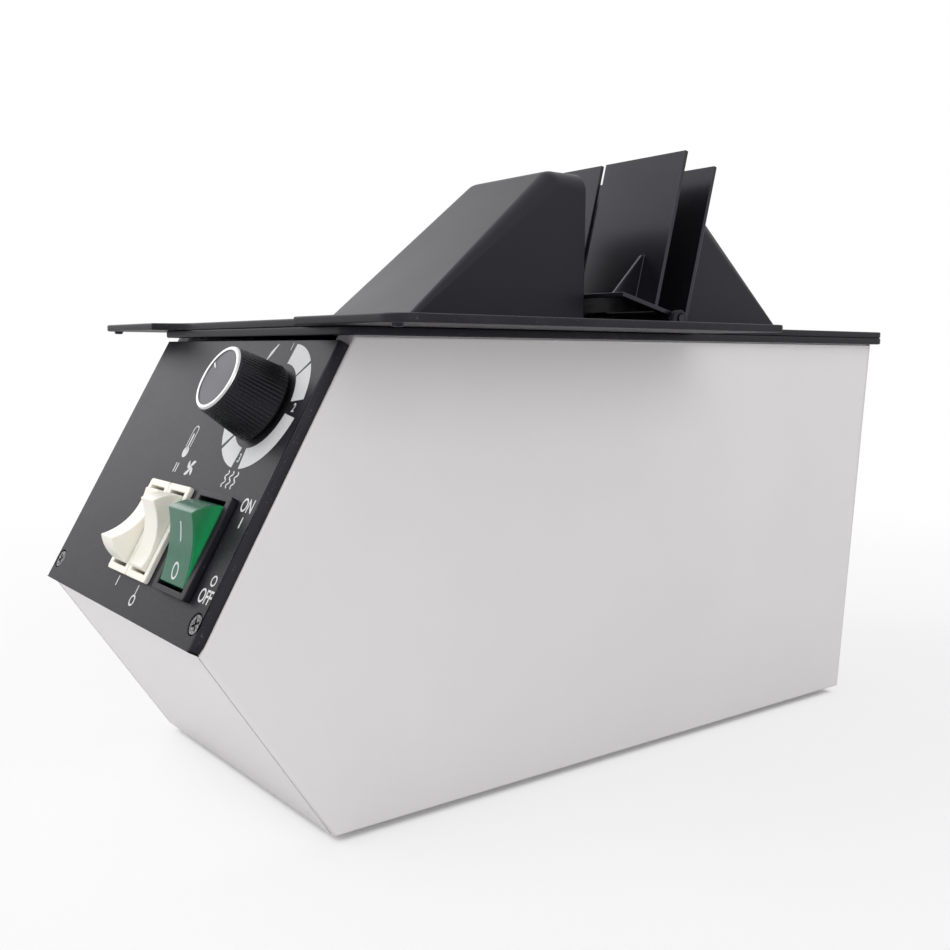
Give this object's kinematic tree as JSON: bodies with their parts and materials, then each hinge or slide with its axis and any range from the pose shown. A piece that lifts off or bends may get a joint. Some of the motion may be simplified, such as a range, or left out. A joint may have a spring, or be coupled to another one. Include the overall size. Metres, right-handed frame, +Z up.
{
  "type": "eyeglass frame warmer",
  "caption": "Counter-top hot air warmer for eyeglass frames: slanted panel with a heat knob and rocker switches, and facing hoods with tilting vanes over the outlet.",
  "frame": {"origin": "centre of the overall length and width, on the table under the feet", "axes": "+X to the user's right, +Y to the back, +Z up"},
  "size_m": [0.2084, 0.3048, 0.2171],
  "materials": {
    "white_paint": "smooth satin white powder coat on sheet steel",
    "black_moulding": "fine textured black moulding",
    "black_hood": "satin black moulding",
    "black_gloss": "glossy black sheet",
    "black_rubber": "dull black rubber",
    "bright_steel": "plated steel",
    "duct_steel": "plain galvanised sheet",
    "bright_ring": "turned bright aluminium",
    "cream_plastic": "smooth cream moulding",
    "green_lens": "clear green moulding with a lamp under it",
    "lamp_glass": "clear glass bulb",
    "mica": "pressed mica board",
    "ribbon": "resistance ribbon",
    "motor_iron": "laminated iron and zinc shell",
    "fan_plastic": "dark fibre filled moulding",
    "board": "green board",
    "sink": "extruded aluminium",
    "pale_block": "off-white moulding"
  },
  "bodies": {
    "warmer": {"base_wrap": "white_paint", "side_panel_left": "white_paint", "side_panel_right": "white_paint", "feet": "black_rubber", "foot_screws": "bright_steel", "control_panel": "black_moulding", "panel_screws": "bright_steel", "top_deck": "black_moulding", "hood_plate": "black_moulding", "deck_screws": "bright_steel", "front_hood": "black_hood", "rear_hood": "black_hood", "outlet_screen": "duct_steel", "pivot_rod": "bright_steel", "pot_body": "motor_iron", "pot_nut": "bright_steel", "left_switch_body": "cream_plastic", "right_switch_body": "cream_plastic", "power_switch_body": "black_hood", "power_lamp": "lamp_glass", "air_duct": "duct_steel", "heater_frame": "mica", "heater_ribbon": "ribbon", "thermal_cutout": "pale_block", "scroll_housing": "duct_steel", "scroll_cover": "duct_steel", "motor": "motor_iron", "motor_bracket": "duct_steel", "control_board": "board", "heat_sink": "sink", "board_posts": "bright_steel", "terminal_block": "pale_block", "cord_bush": "black_moulding"},
    "knob": {"heat_knob": "black_moulding", "knob_ring": "bright_ring", "pot_shaft": "bright_steel"},
    "left_cream_rocker": {"left_rocker": "cream_plastic"},
    "right_cream_rocker": {"right_rocker": "cream_plastic"},
    "mains_rocker": {"power_rocker": "green_lens"},
    "right_vanes": {"deflector_right": "black_gloss"},
    "left_vanes": {"deflector_left": "black_gloss"},
    "rotor": {"impeller": "fan_plastic", "motor_shaft": "bright_steel"}
  },
  "joints": [
    {"name": "heat_dial", "type": "hinge", "parent": "warmer", "child": "knob", "pos_m": [0.0366, -0.11733, 0.1264], "axis": [0, -0.8709, 0.4914], "range_deg": [-28, 272]},
    {"name": "left_cream_switch", "type": "hinge", "parent": "warmer", "child": "left_cream_rocker", "pos_m": [-0.004, -0.13829, 0.08702], "axis": [1, 0, 0], "range_deg": [0, 35.4]},
    {"name": "right_cream_switch", "type": "hinge", "parent": "warmer", "child": "right_cream_rocker", "pos_m": [0.0114, -0.13829, 0.08702], "axis": [1, 0, 0], "range_deg": [-35.4, 0]},
    {"name": "mains_switch", "type": "hinge", "parent": "warmer", "child": "mains_rocker", "pos_m": [0.0374, -0.13803, 0.08687], "axis": [1, 0, 0], "range_deg": [-42, 0]},
    {"name": "right_vane_tilt", "type": "hinge", "parent": "warmer", "child": "right_vanes", "pos_m": [0, 0.04774, 0.1552], "axis": [1, 0, 0], "range_deg": [0, 20]},
    {"name": "left_vane_tilt", "type": "hinge", "parent": "warmer", "child": "left_vanes", "pos_m": [0, 0.04774, 0.1552], "axis": [1, 0, 0], "range_deg": [0, 20]},
    {"name": "blower_spin", "type": "hinge", "parent": "warmer", "child": "rotor", "pos_m": [0, 0.06274, 0.0511], "axis": [1, 0, 0], "continuous": true}
  ]
}
